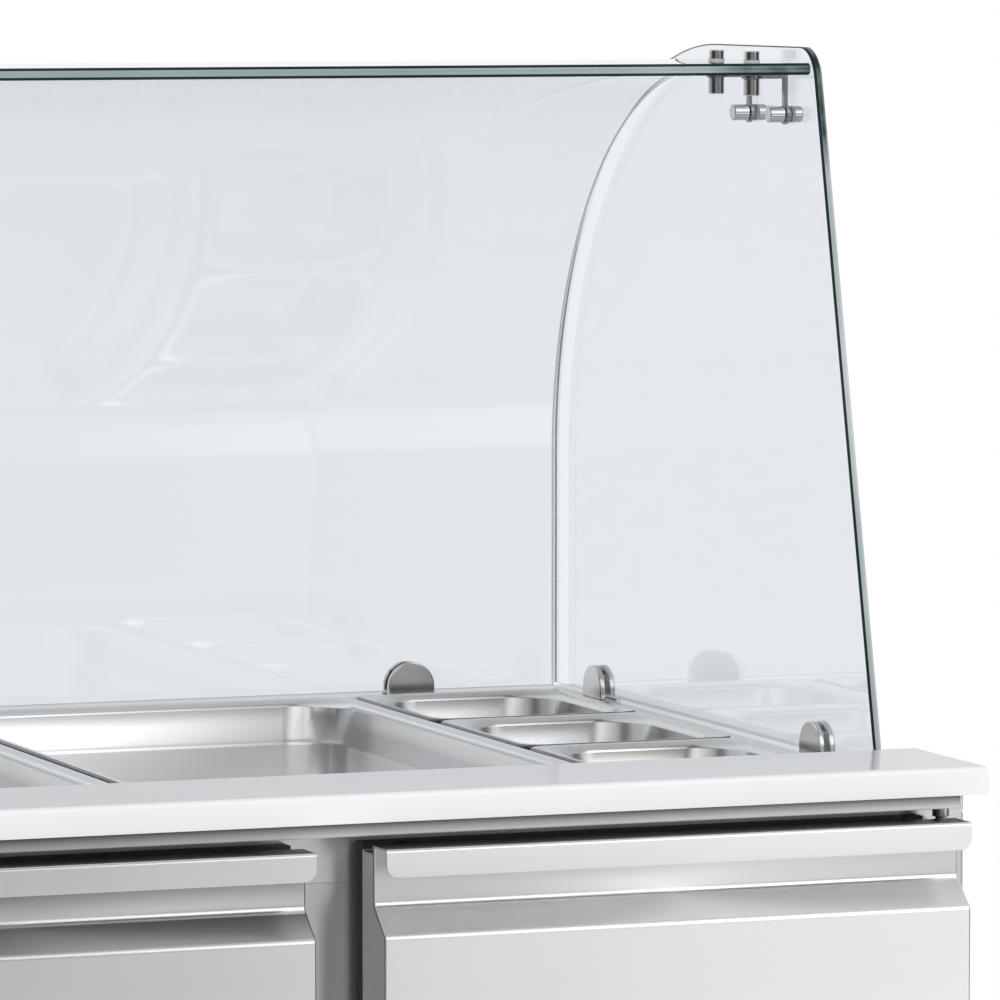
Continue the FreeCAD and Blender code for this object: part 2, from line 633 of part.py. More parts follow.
def build_machine():
    z = BASE_Z + 2
    shell = fuse([cyl(COMP_R, 100, COMP_X, COMP_Y, z + 16), cyl(COMP_R + 4, 6, COMP_X, COMP_Y, z + 58)])
    top = [e for e in shell.Edges if all(abs(v.Z - (z + 116)) < 0.01 for v in e.Vertexes)]
    shell = shell.makeFillet(26.0, top)
    plate = box(COMP_X - 90, COMP_X + 90, COMP_Y - 60, COMP_Y + 60, z + 12, z + 16)
    bushes = [cyl(9, 12, COMP_X + dx, COMP_Y + dy, z) for dx in (-76, 76) for dy in (-46, 46)]
    relay = box(COMP_X - COMP_R - 24, COMP_X - COMP_R + 6, COMP_Y - 24, COMP_Y + 24, z + 40, z + 96)
    save("compressor", fuse([shell, plate, relay] + bushes))

    tubes = []
    for i in range(5):
        tubes.append(cyl(4.5, COIL_X1 - COIL_X0 - 2, COIL_X0 + 1, COIL_Y0 + 12, z + 22 + 28 * i, (1, 0, 0)))
        tubes.append(cyl(4.5, COIL_X1 - COIL_X0 - 2, COIL_X0 + 1, COIL_Y1 - 12, z + 22 + 28 * i, (1, 0, 0)))
    count = 40
    step = (COIL_X1 - COIL_X0 - 8) / count
    fins = [box(COIL_X0 + 4 + i * step, COIL_X0 + 5 + i * step, COIL_Y0, COIL_Y1, z + 4, z + 160) for i in range(count)]
    ends = [box(COIL_X0, COIL_X0 + 2, COIL_Y0, COIL_Y1, z, z + 164), box(COIL_X1 - 2, COIL_X1, COIL_Y0, COIL_Y1, z, z + 164)]
    save("condenser_coil", fuse(fins + tubes + ends))

    y = COIL_Y1
    shroud = box(COIL_X0, COIL_X1, y, y + 46, z, z + 168)
    space = box(COIL_X0 + 1.5, COIL_X1 - 1.5, y - 1, y + 44.5, z + 1.5, z + 166.5)
    mouth = cyl(COND_FAN_R + 4, 20, COND_FAN_X, y + 35, COND_FAN_Z, (0, 1, 0))
    save("condenser_shroud", cut(shroud, [space, mouth]))
    my = y + 70
    motor = fuse([cyl(30, 55, COND_FAN_X, my, COND_FAN_Z, (0, 1, 0)),
                  box(COND_FAN_X - 22, COND_FAN_X + 22, my + 18, my + 38, z, COND_FAN_Z - 20),
                  box(COND_FAN_X - 40, COND_FAN_X + 40, my + 8, my + 48, z, z + 3),
                  cyl(3, 40, COND_FAN_X, my - 38, COND_FAN_Z, (0, 1, 0))])
    save("condenser_motor", motor)
    save("condenser_fan", fan(COND_FAN_X, my - 36, COND_FAN_Z, 20, 20, COND_FAN_R, 3.05, 5, 30))

    low = BASE_Z + 78
    line = pipe([(COMP_X, COMP_Y + COMP_R + 0.1, low), (COMP_X, PIPE_Y, low), (PIPE_X, PIPE_Y, low),
                 (PIPE_X, PIPE_Y, PIPE_Z), (PIPE_X, EVAP_IN_Y, PIPE_Z), (EVAP_HALF_W - 11, EVAP_IN_Y, PIPE_Z)], PIPE_R)
    hot = pipe([(COMP_X, COMP_Y - COMP_R - 0.1, low), (COMP_X, 60, low), (-30, 60, low), (-30, -217, low),
                (COIL_X1 + 0.5, -217, low)], 4.0)
    drier = cyl(11, 90, 0, -60, 200, (1, 0, 0))
    capillary = pipe([(90, -60, 200), (150, -60, 200), (150, 40, 200)], 3.0)
    liquid = pipe([(0, -60, 200), (-14, -60, 200), (-14, -238, 200), (COIL_X1 + 0.5, -238, 200)], 3.0)
    save("refrigerant_pipes", [line, hot, drier, capillary, liquid])

    tray = box(30, 230, -240, -90, z, z + 24)
    save("drip_tray", cut(tray, [box(32, 228, -238, -92, z + 2, z + 30)]))


# Lower panel, controls and feet

def build_controls():
    w = BODY_HALF_W - SKIN - 1
    y = PANEL_Y
    panel = box(-w, w, y, y + PANEL_T, PANEL_Z0, PANEL_Z1 - 1)
    slots = []
    for row in range(10):
        z = 124.0 + 15.0 * row
        for x in (VENT_EDGE - BODY_HALF_W, VENT_EDGE - BODY_HALF_W + VENT_W + VENT_GAP):
            slots.append(box(x, x + VENT_W, y - 5, y + 5, z, z + 7))
    slots.append(box(CTRL_X - 35.7, CTRL_X + 35.7, y - 5, y + 5, CTRL_Z - 14.7, CTRL_Z + 14.7))
    slots.append(box(SWITCH_X - 13.2, SWITCH_X + 13.2, y - 5, y + 5, SWITCH_Z - 9.7, SWITCH_Z + 9.7))
    screw_spots = [(sx * (BODY_HALF_W - PANEL_EDGE), z) for sx in (-1, 1) for z in (PANEL_Z0 + 20, PANEL_Z1 - 16)]
    holes = [cyl(2.6, 10, x, y - 5, z, (0, 1, 0)) for x, z in screw_spots]
    flanges = [box(-w, w, y, FRAME_Y, PANEL_Z1 - 2.5, PANEL_Z1 - 1), box(-w, w, y, FRAME_Y, PANEL_Z0, PANEL_Z0 + 1.5)]
    save("lower_panel", cut(fuse([panel] + flanges), slots + holes))
    screws = [fuse([cyl(5, 2.4, x, y - 2.4, z, (0, 1, 0)), cyl(2.5, 8, x, y - 1, z, (0, 1, 0))]) for x, z in screw_spots]
    save("panel_screws", screws)

    bezel = box(CTRL_X - 39, CTRL_X + 39, y - 5, y, CTRL_Z - 18, CTRL_Z + 18)
    front = [e for e in bezel.Edges if all(abs(v.Y - (y - 5)) < 0.01 for v in e.Vertexes)]
    bezel = bezel.makeFillet(1.5, front)
    case = box(CTRL_X - 35.5, CTRL_X + 35.5, y, y + 58, CTRL_Z - 14.5, CTRL_Z + 14.5)
    window = box(CTRL_X - 32, CTRL_X + 8, y - 6, y - 3, CTRL_Z - 9, CTRL_Z + 12)
    keys = {"set": (16, -1), "up": (29, 5), "down": (29, -7)}
    pockets = [box(CTRL_X + dx - 5.3, CTRL_X + dx + 5.3, y - 6, y - 1, CTRL_Z + dz - 4.3, CTRL_Z + dz + 4.3)
               for dx, dz in keys.values()]
    save("controller", cut(fuse([bezel, case]), [window] + pockets))
    save("controller_display", box(CTRL_X - 32, CTRL_X + 8, y - 4.4, y - 3, CTRL_Z - 9, CTRL_Z + 12))
    for name, (dx, dz) in keys.items():
        x = CTRL_X + dx
        z = CTRL_Z + dz
        save("button_" + name, box(x - 5, x + 5, y - 6, y - 2.2, z - 4, z + 4))

    sx = SWITCH_X
    sz = SWITCH_Z
    flange = box(sx - 16, sx + 16, y - 2.5, y, sz - 12.5, sz + 12.5)
    body = box(sx - 13, sx + 13, y, y + 26, sz - 9.5, sz + 9.5)
    well = box(sx - 11.5, sx + 11.5, y - 5, y + 12, sz - 8, sz + 8)
    pivot_y = y + 2
    bore = cyl(1.56, 40, sx - 20, pivot_y, sz, (1, 0, 0))
    save("switch_housing", cut(fuse([flange, body]), [well, bore]))
    rocker = yz_prism([(y - 4.5, sz - 7), (y - 3, sz), (y - 4.5, sz + 7), (y + 4, sz + 6.6), (y + 4, sz - 6.6)], sx - 11, sx + 11)
    rocker.rotate(V(sx, pivot_y, sz), V(1, 0, 0), -SWITCH_TILT)
    save("switch_rocker", fuse([rocker, cyl(1.5, 25, sx - 12.5, pivot_y, sz, (1, 0, 0))]))

    gland = fuse([cyl(13, 3, GLAND_X, BODY_BACK, 150, (0, 1, 0)), cyl(10, 20, GLAND_X, BODY_BACK - 18, 150, (0, 1, 0))])
    save("cable_gland", cut(gland, [cyl(4.5, 40, GLAND_X, BODY_BACK - 25, 150, (0, 1, 0))]))

    sockets = []
    for side, sx in (("left", -FOOT_X), ("right", FOOT_X)):
        for end, fy in zip(("front", "rear"), FOOT_Y):
            socket = fuse([cyl(20, 40, sx, fy, BASE_Z - 40), cyl(34, 4, sx, fy, BASE_Z - 4)])
            sockets.append(cut(socket, [cyl(STEM_R + 0.06, 38, sx, fy, BASE_Z - 41)]))
            pad = fuse([cyl(29, 8, sx, fy, 0), Part.makeCone(29, 16, 10, V(sx, fy, 8)), cyl(STEM_R, 78, sx, fy, 18)])
            nut = Part.Face(Part.makePolygon([V(sx + 15 * math.cos(math.radians(60 * k)),
                                                fy + 15 * math.sin(math.radians(60 * k)), 30) for k in range(7)]))
            save("foot_" + end + "_" + side, fuse([pad, nut.extrude(V(0, 0, 12))]))
    save("foot_sockets", sockets)


os.makedirs(OUT, exist_ok=True)
build_shell()
build_front_frame()
build_worktop()
build_pans()
build_glass()
save("glass_gaskets", build_clamps() + build_links())
build_doors()
build_cold_side()
build_machine()
build_controls()
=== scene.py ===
"""Saladette: the looks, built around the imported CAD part."""
import math

import bmesh
import bpy
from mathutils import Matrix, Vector


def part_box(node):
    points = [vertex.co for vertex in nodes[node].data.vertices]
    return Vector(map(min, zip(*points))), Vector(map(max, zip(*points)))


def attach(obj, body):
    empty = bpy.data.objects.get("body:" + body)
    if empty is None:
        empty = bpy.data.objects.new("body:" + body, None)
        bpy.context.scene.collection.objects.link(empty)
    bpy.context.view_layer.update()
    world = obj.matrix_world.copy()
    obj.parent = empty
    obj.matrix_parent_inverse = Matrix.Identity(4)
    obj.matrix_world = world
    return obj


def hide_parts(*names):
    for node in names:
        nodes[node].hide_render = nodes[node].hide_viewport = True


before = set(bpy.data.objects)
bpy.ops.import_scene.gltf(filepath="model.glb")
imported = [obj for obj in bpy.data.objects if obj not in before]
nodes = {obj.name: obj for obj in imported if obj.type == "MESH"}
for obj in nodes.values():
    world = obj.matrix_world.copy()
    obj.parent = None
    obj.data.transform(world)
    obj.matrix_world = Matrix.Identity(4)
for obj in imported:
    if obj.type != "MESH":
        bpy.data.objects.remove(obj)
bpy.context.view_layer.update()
MM = 0.001


# Materials

def new_material(name):
    mat = bpy.data.materials.new(name)
    mat.use_nodes = True
    tree = mat.node_tree
    return mat, tree, tree.nodes["Principled BSDF"]


def add(tree, kind, **values):
    node = tree.nodes.new(kind)
    for key, value in values.items():
        if key in node.inputs:
            node.inputs[key].default_value = value
        else:
            setattr(node, key, value)
    return node


def coords(tree, scale):
    where = add(tree, "ShaderNodeTexCoord")
    mapping = add(tree, "ShaderNodeMapping")
    mapping.inputs["Scale"].default_value = scale
    tree.links.new(where.outputs["Object"], mapping.inputs["Vector"])
    return mapping.outputs["Vector"]


def noise(tree, scale, detail=3.0, size=1.0, rough=0.55):
    node = add(tree, "ShaderNodeTexNoise", Scale=size, Detail=detail, Roughness=rough)
    tree.links.new(coords(tree, scale), node.inputs["Vector"])
    return node.outputs["Fac"]


def spread(tree, value, low, high, start=0.3, end=0.7):
    """Value between start and end stretched to low and high."""
    node = add(tree, "ShaderNodeMapRange")
    node.inputs["From Min"].default_value = start
    node.inputs["From Max"].default_value = end
    node.inputs["To Min"].default_value = low
    node.inputs["To Max"].default_value = high
    tree.links.new(value, node.inputs["Value"])
    return node.outputs["Result"]


def tint(tree, value, dark, light, start=0.3, end=0.7):
    ramp = add(tree, "ShaderNodeValToRGB")
    ramp.color_ramp.elements[0].position = start
    ramp.color_ramp.elements[1].position = end
    ramp.color_ramp.elements[0].color = (*dark, 1)
    ramp.color_ramp.elements[1].color = (*light, 1)
    tree.links.new(value, ramp.inputs["Fac"])
    return ramp.outputs["Color"]


def blend_colors(tree, kind, factor, a, b):
    node = add(tree, "ShaderNodeMix", data_type="RGBA", blend_type=kind)
    for value, socket in ((factor, node.inputs["Factor"]), (a, node.inputs[6]), (b, node.inputs[7])):
        if isinstance(value, bpy.types.NodeSocket):
            tree.links.new(value, socket)
        else:
            socket.default_value = value
    return node.outputs[2]


def ramp_of(tree, value, stops):
    """Grey levels at places along a value from 0 to 1."""
    node = add(tree, "ShaderNodeValToRGB")
    elements = node.color_ramp.elements
    elements[0].position = stops[0][0]
    elements[1].position = stops[-1][0]
    for place, _ in stops[1:-1]:
        elements.new(place)
    for element, (_, level) in zip(elements, stops):
        element.color = (level, level, level, 1)
    tree.links.new(value, node.inputs["Fac"])
    return node.outputs["Color"]


def bump(tree, bsdf, value, strength, distance=0.0002, round_edges=0.0):
    node = add(tree, "ShaderNodeBump", Strength=strength, Distance=distance)
    tree.links.new(value, node.inputs["Height"])
    if round_edges:
        edge = add(tree, "ShaderNodeBevel", Radius=round_edges)
        edge.samples = 4
        tree.links.new(edge.outputs["Normal"], node.inputs["Normal"])
    tree.links.new(node.outputs["Normal"], bsdf.inputs["Normal"])


def steel(name, grain, dark, light, rough, edges=0.0, strength=0.08, stretch=0.0):
    """Sheet steel: fine grain along one way, soft cloudy variation, stretched highlights."""
    mat, tree, bsdf = new_material(name)
    bsdf.inputs["Metallic"].default_value = 1.0
    lines = noise(tree, grain, detail=4.0)
    cloud = noise(tree, (5.0, 5.0, 5.0), detail=2.0)
    tree.links.new(tint(tree, cloud, dark, light), bsdf.inputs["Base Color"])
    tree.links.new(spread(tree, lines, rough[0], rough[1]), bsdf.inputs["Roughness"])
    bump(tree, bsdf, lines, strength, 0.00005, edges)
    if stretch:
        bsdf.inputs["Anisotropic"].default_value = stretch
        bsdf.inputs["Anisotropic Rotation"].default_value = 0.25
        around = add(tree, "ShaderNodeTangent")
        around.direction_type = "RADIAL"
        around.axis = "Z"
        tree.links.new(around.outputs["Tangent"], bsdf.inputs["Tangent"])
    return mat


def shaded_up(mat, low, high, darkest):
    """Let a steel go dark upwards, under something that overhangs it."""
    tree = mat.node_tree
    bsdf = tree.nodes["Principled BSDF"]
    plain = bsdf.inputs["Base Color"].links[0].from_socket
    where = add(tree, "ShaderNodeTexCoord")
    split = add(tree, "ShaderNodeSeparateXYZ")
    tree.links.new(where.outputs["Object"], split.inputs["Vector"])
    shade = spread(tree, split.outputs["Z"], 1.0, darkest, low, high)
    tree.links.new(blend_colors(tree, "MULTIPLY", 1.0, plain, shade), bsdf.inputs["Base Color"])
    return mat


def plastic(name, dark, light, rough, grain=900.0, strength=0.15, edges=0.0004, coat=0.0):
    """Plastic, rubber or paint: fine grain, soft cloudy variation and an optional clear coat."""
    mat, tree, bsdf = new_material(name)
    fine = noise(tree, (grain, grain, grain), detail=2.0)
    cloud = noise(tree, (7.0, 7.0, 7.0), detail=2.0)
    tree.links.new(tint(tree, cloud, dark, light), bsdf.inputs["Base Color"])
    tree.links.new(spread(tree, fine, rough[0], rough[1]), bsdf.inputs["Roughness"])
    bsdf.inputs["Coat Weight"].default_value = coat
    bsdf.inputs["Coat Roughness"].default_value = 0.05
    bump(tree, bsdf, fine, strength, 0.0001, edges)
    return mat


def painted_corner_reflection(mat):
    """Painted dark reflection: upright dark bands in the rounded corners of a deep-drawn pan, by the way
    the wall faces.
    """
    tree = mat.node_tree
    bsdf = tree.nodes["Principled BSDF"]
    facing = add(tree, "ShaderNodeSeparateXYZ")
    normal = add(tree, "ShaderNodeNewGeometry")
    tree.links.new(normal.outputs["Normal"], facing.inputs["Vector"])
    turned = spread(tree, facing.outputs["X"], 0.0, 1.0, -1.0, 1.0)
    stops = ((0.0, 1.0), (0.006, 0.95), (0.02, 0.60), (0.08, 0.52), (0.14, 0.75), (0.20, 1.0),
             (1.0, 1.0))
    dark_reflection = ramp_of(tree, turned, stops)
    plain = bsdf.inputs["Base Color"].links[0].from_socket
    tree.links.new(blend_colors(tree, "MULTIPLY", 1.0, plain, dark_reflection), bsdf.inputs["Base Color"])


ALONG_X = (4.0, 1400.0, 1400.0)
ALONG_Y = (1400.0, 4.0, 1400.0)
EVEN = (500.0, 500.0, 500.0)
FINE = (700.0, 700.0, 700.0)

brushed = steel("brushed_steel", ALONG_X, (0.78, 0.78, 0.785), (0.82, 0.82, 0.825), (0.31, 0.35), 0.0,
                0.015, 0.85)
# Bends: less rough steel, and a lighter colour than the sheet as painted highlight.
crease_lit_steel = steel("crease_lit_steel", ALONG_X, (0.84, 0.84, 0.845), (0.88, 0.88, 0.885), (0.22, 0.26),
                     0.0, 0.005, 0.5)


def grip_steel(name, painted_light_tone):
    """Door steel of the grip recess and of the slant below it, in a grey given per door as painted light.
    """
    dark = (painted_light_tone, painted_light_tone, painted_light_tone + 0.005)
    light = (painted_light_tone + 0.03, painted_light_tone + 0.03, painted_light_tone + 0.035)
    return steel(name, ALONG_X, dark, light, (0.31, 0.35), 0.0, 0.015, 0.85)


# Painted light and shade: the right door's recess and slant are painted lighter than its face, the left
# door's go dark upwards as painted shade.
recess_steel = {"left": shaded_up(grip_steel("recess_steel_left", 0.78), 0.798, 0.814, 0.50),
                "right": grip_steel("recess_steel_right", 0.95)}
slant_steel = {"left": shaded_up(grip_steel("slant_steel_left", 0.78), 0.768, 0.7925, 0.38),
               "right": grip_steel("slant_steel_right", 0.95)}
rail_steel = steel("rail_steel", ALONG_X, (0.60, 0.60, 0.61), (0.66, 0.66, 0.67), (0.26, 0.31), 0.0006,
                   0.015, 0.4)
shaded_up(rail_steel, 0.8385, 0.8455, 0.16)
brushed_cad = steel("brushed_sheet", ALONG_X, (0.72, 0.72, 0.73), (0.78, 0.78, 0.79), (0.24, 0.29),
                    0.0008, 0.015, 0.5)
brushed_side = steel("brushed_side", ALONG_Y, (0.70, 0.70, 0.71), (0.77, 0.77, 0.78), (0.26, 0.31),
                     0.0008, 0.015, 0.5)
# Painted shade: the door ends are painted darker than the door faces; the grain along them is the steel's
# own.
door_side_shaded_steel = steel("door_side_shaded_steel", ALONG_Y, (0.64, 0.64, 0.65), (0.71, 0.71, 0.72), (0.26, 0.31),
                        0.0, 0.01, 0.4)
# Painted shade: the front frame, the mullion between the doors too, is painted darker than the door steel.
frame_shaded_steel = steel("frame_shaded_steel", ALONG_X, (0.57, 0.57, 0.58), (0.63, 0.63, 0.64), (0.28, 0.33), 0.0006,
                    0.015, 0.4)
pan_steel = steel("pan_steel", FINE, (0.91, 0.91, 0.905), (0.95, 0.95, 0.945), (0.20, 0.24), 0.0, 0.003)
pan_steel.node_tree.nodes["Principled BSDF"].inputs["Metallic"].default_value = 0.75
# Painted dark reflection in the corners of the big pans.
painted_corner_reflection(pan_steel)
# Painted shade: near-black steel on the outer sides of the pan rims, for the shade in the gaps round the
# pans.
rim_shade_steel = steel("rim_shade_steel", EVEN, (0.16, 0.16, 0.16), (0.22, 0.22, 0.22), (0.20, 0.26), 0.0,
                       0.003)
small_pan_steel = steel("small_pan_steel", FINE, (0.72, 0.715, 0.70), (0.78, 0.775, 0.76), (0.20, 0.24),
                        0.0, 0.003)
bright_steel = steel("bright_steel", EVEN, (0.58, 0.57, 0.555), (0.66, 0.65, 0.635), (0.06, 0.10), 0.0,
                     0.005)
bar_steel = steel("bar_steel", EVEN, (0.30, 0.30, 0.29), (0.38, 0.38, 0.37), (0.16, 0.24), 0.0, 0.01)
shaded_steel = steel("shaded_steel", ALONG_X, (0.05, 0.05, 0.052), (0.08, 0.08, 0.082), (0.30, 0.36),
                     0.0, 0.01)
satin = steel("satin_steel", EVEN, (0.66, 0.655, 0.63), (0.76, 0.755, 0.73), (0.20, 0.24), 0.0, 0.004)
satin_cad = steel("satin_fittings", EVEN, (0.60, 0.60, 0.60), (0.70, 0.70, 0.70), (0.22, 0.30), 0.0005,
                  0.02)
zinc = steel("zinc_sheet", (60.0, 60.0, 60.0), (0.50, 0.52, 0.54), (0.66, 0.68, 0.70), (0.38, 0.55),
             0.0006, 0.2)
fins = steel("fin_aluminium", (40.0, 40.0, 400.0), (0.66, 0.67, 0.68), (0.78, 0.79, 0.80), (0.30, 0.45),
             0.0, 0.1)
copper = steel("copper_tube", EVEN, (0.62, 0.30, 0.17), (0.78, 0.44, 0.28), (0.25, 0.42), 0.0, 0.1)
board_white = plastic("white_board", (0.80, 0.80, 0.81), (0.83, 0.83, 0.835), (0.12, 0.18), 1200.0, 0.02,
                      0.0, 0.0)
board_white.node_tree.nodes["Principled BSDF"].inputs["Specular IOR Level"].default_value = 0.28
black_rubber = plastic("black_rubber", (0.008, 0.008, 0.009), (0.020, 0.020, 0.021), (0.42, 0.58), 700.0,
                       0.3)
black_plastic = plastic("black_plastic", (0.016, 0.016, 0.017), (0.030, 0.030, 0.031), (0.38, 0.5),
                        1500.0, 0.3)
black_paint = plastic("black_paint", (0.012, 0.012, 0.013), (0.026, 0.026, 0.027), (0.28, 0.40), 300.0,
                      0.2)
grey_plastic = plastic("grey_plastic", (0.42, 0.43, 0.44), (0.50, 0.51, 0.52), (0.4, 0.52), 1200.0, 0.2)
door_plastic = plastic("door_inner_plastic", (0.68, 0.68, 0.68), (0.74, 0.74, 0.74), (0.35, 0.48), 500.0,
                       0.25)
foam = plastic("rigid_foam", (0.66, 0.56, 0.33), (0.78, 0.68, 0.44), (0.7, 0.9), 160.0, 0.8)
wire_coat = plastic("coated_wire", (0.74, 0.74, 0.74), (0.80, 0.80, 0.80), (0.25, 0.36), 600.0, 0.15)
soft_clear = plastic("soft_washer", (0.66, 0.68, 0.68), (0.76, 0.78, 0.78), (0.3, 0.45), 800.0, 0.1)
display_red = plastic("display_window", (0.030, 0.003, 0.004), (0.045, 0.005, 0.006), (0.05, 0.09),
                      800.0, 0.02, 0.0, 0.8)
switch_green = plastic("switch_green", (0.02, 0.24, 0.06), (0.03, 0.34, 0.09), (0.14, 0.22), 900.0, 0.05,
                       0.0006, 0.5)


def glass_material(name, color, rough):
    mat, tree, bsdf = new_material(name)
    bsdf.inputs["Transmission Weight"].default_value = 1.0
    bsdf.inputs["IOR"].default_value = 1.55
    bsdf.inputs["Roughness"].default_value = rough
    bsdf.inputs["Base Color"].default_value = (*color, 1)
    return mat


glass_clear = glass_material("glass_clear", (0.80, 0.83, 0.865), 0.0)


def edge_glass(name, low, high, axis, start, end):
    """Ground glass edge: grey green in streaks, the glass's own tint, with painted shade turning it dark
    teal past a place along one axis.
    """
    mat = plastic(name, low, high, (0.10, 0.2), 60.0, 0.05, 0.0, 0.6)
    tree = mat.node_tree
    bsdf = tree.nodes["Principled BSDF"]
    plain = bsdf.inputs["Base Color"].links[0].from_socket
    where = add(tree, "ShaderNodeTexCoord")
    split = add(tree, "ShaderNodeSeparateXYZ")
    tree.links.new(where.outputs["Object"], split.inputs["Vector"])
    far = add(tree, "ShaderNodeMath", operation="ABSOLUTE")
    tree.links.new(split.outputs[axis], far.inputs[0])
    streak = noise(tree, (60.0, 60.0, 60.0))
    dark = tint(tree, streak, (0.010, 0.028, 0.028), (0.10, 0.17, 0.165), 0.4, 0.7)
    # Painted shade: past the given place the edge goes over to the dark teal.
    share = spread(tree, far.outputs["Value"], 0.0, 1.0, start, end)
    tree.links.new(blend_colors(tree, "MIX", share, plain, dark), bsdf.inputs["Base Color"])
    return mat


# Painted shade: the canopy's front edge darkens towards its ends, the side edges towards their tops.
canopy_edge = edge_glass("canopy_edge", (0.21, 0.27, 0.275), (0.31, 0.37, 0.38), "X", 0.345, 0.375)
side_edge = edge_glass("side_edge", (0.26, 0.32, 0.32), (0.50, 0.55, 0.56), "Z", 1.245, 1.275)
# Painted shade: opaque near-black arrises, for the dark lines seen along a glass edge.
shaded_glass_arris = plastic("shaded_glass_arris", (0.006, 0.014, 0.018), (0.018, 0.034, 0.040), (0.25, 0.35), 60.0,
                      0.05, 0.0, 0.0)
shaded_glass_arris.node_tree.nodes["Principled BSDF"].inputs["Specular IOR Level"].default_value = 0.1
# Painted light: the fine glass edges glow by emission, for light coming through the glass.
glowing_glass_line = plastic("glass_fine_edge_glow", (0.58, 0.63, 0.65), (0.70, 0.74, 0.76), (0.08, 0.16), 60.0, 0.05,
                     0.0, 0.6)
glass_glow = glowing_glass_line.node_tree.nodes["Principled BSDF"]
glass_glow.inputs["Emission Color"].default_value = (0.78, 0.84, 0.86, 1)
glass_glow.inputs["Emission Strength"].default_value = 0.4

LOOK = {
    frame_shaded_steel: ["front_frame"],
    rail_steel: ["top_rail"],
    shaded_steel: ["pan_bars"],
    brushed_cad: ["worktop_frame", "lower_panel", "shelf_supports", "rear_panel"],
    brushed_side: ["side_panels", "inner_liner", "evaporator_cover"],
    satin_cad: ["clamp_screws", "panel_screws", "hinge_brackets", "foot_front_left", "foot_front_right",
                "foot_rear_left", "foot_rear_right"],
    zinc: ["base_tray", "condenser_shroud", "foot_sockets"],
    fins: ["evaporator_coil", "condenser_coil"],
    copper: ["refrigerant_pipes"],
    board_white: ["worktop_board"],
    black_rubber: ["door_left_gasket", "door_right_gasket"],
    black_plastic: ["evaporator_fan", "condenser_fan", "controller", "switch_housing", "cable_gland"],
    black_paint: ["compressor", "condenser_motor", "evaporator_motor"],
    grey_plastic: ["drip_tray", "button_set", "button_up", "button_down"],
    door_plastic: ["door_left_liner", "door_right_liner"],
    foam: ["insulation", "door_left_core", "door_right_core"],
    wire_coat: ["shelves"],
    soft_clear: ["glass_gaskets"],
    display_red: ["controller_display"],
    switch_green: ["switch_rocker"],
}
for look, names in LOOK.items():
    for name in names:
        nodes[name].data.materials.clear()
        nodes[name].data.materials.append(look)


# Mesh helpers

def make(name, bm, mats, bevel=0.0, smooth=35.0):
    """Object from a bmesh, with bevelled edges in metres and smooth shading below an angle."""
    bmesh.ops.recalc_face_normals(bm, faces=bm.faces)
    mesh = bpy.data.meshes.new(name)
    bm.to_mesh(mesh)
    bm.free()
    for mat in mats:
        mesh.materials.append(mat)
    obj = bpy.data.objects.new(name, mesh)
    bpy.context.scene.collection.objects.link(obj)
    if bevel:
        mod = obj.modifiers.new("edges", "BEVEL")
        mod.width = bevel
        mod.segments = 3
        mod.limit_method = "ANGLE"
        mod.angle_limit = math.radians(40)
        mod.harden_normals = False
    mesh.polygons.foreach_set("use_smooth", [True] * len(mesh.polygons))
    mesh.set_sharp_from_angle(angle=math.radians(smooth))
    return obj


def use(obj, body, slot, *replaced):
    """Let a piece ride a body in place of the CAD nodes it replaces; the slot is not used."""
    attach(obj, body)
    if replaced:
        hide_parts(*replaced)


def rounded(points, radii, steps=5):
    """Outline with each corner replaced by an arc of its radius."""
    out = []
    n = len(points)
    for i, r in enumerate(radii):
        p = Vector(points[i])
        a = Vector(points[i - 1]) - p
        b = Vector(points[(i + 1) % n]) - p
        if r <= 0:
            out.append(p)
            continue
        half = a.angle(b) / 2
        reach = min(r / math.tan(half), a.length * 0.49, b.length * 0.49)
        r = reach * math.tan(half)
        centre = p + (a.normalized() + b.normalized()).normalized() * (r / math.sin(half))
        start = p + a.normalized() * reach - centre
        end = p + b.normalized() * reach - centre
        turn = start.angle(end)
        for k in range(steps + 1):
            t = k / steps
            w0 = math.sin((1 - t) * turn) / math.sin(turn)
            w1 = math.sin(t * turn) / math.sin(turn)
            out.append(centre + start * w0 + end * w1)
    return out


def prism(bm, outline, to_3d, depth, edge_mat=0):
    """Add a closed prism: outline in a plane, pushed by the vector depth. All in mm."""
    low = [bm.verts.new(Vector(to_3d(*p)) * MM) for p in outline]
    high = [bm.verts.new((Vector(to_3d(*p)) + Vector(depth)) * MM) for p in outline]
    bm.faces.new(low)
    bm.faces.new(list(reversed(high)))
    n = len(low)
    for i in range(n):
        face = bm.faces.new((low[i], high[i], high[(i + 1) % n], low[(i + 1) % n]))
        face.material_index = edge_mat


def ring_points(x0, x1, y0, y1, r, z, steps=8):
    points = []
    for cx, cy, start in ((x1 - r, y0 + r, -90), (x1 - r, y1 - r, 0), (x0 + r, y1 - r, 90),
                          (x0 + r, y0 + r, 180)):
        for k in range(steps + 1):
            a = math.radians(start + 90 * k / steps)
            points.append((cx + r * math.cos(a), cy + r * math.sin(a), z))
    return points


def rings(bm, loops, marked=()):
    """Closed skin through rings of points, capped at both ends; marked bands take the second material."""
    rows = [[bm.verts.new(Vector(p) * MM) for p in loop] for loop in loops]
    for k, (a, b) in enumerate(zip(rows, rows[1:])):
        n = len(a)
        for i in range(n):
            face = bm.faces.new((a[i], a[(i + 1) % n], b[(i + 1) % n], b[i]))
            face.material_index = 1 if k in marked else 0
    bm.faces.new(rows[0])
    bm.faces.new(list(reversed(rows[-1])))


# Pans: rolled rim, rounded mouth, tapered walls and a coved floor

TOP_Z = 848.0
PAN_DEPTH = 100.0
RIM_T = 4.5
RIM_INSET_X = 1.4
RIM_INSET_Y = 0.8
RIM_R = 13.0
WALL_R = 42.0
WALL_R_SIXTH = 36.0
BEAD_X = 2.6
BEAD_W = 8.6
BEAD_H = 5.4
WALL_FOOT = 17.6
COVE_R = 14.0
PAN_SHEET = 0.9


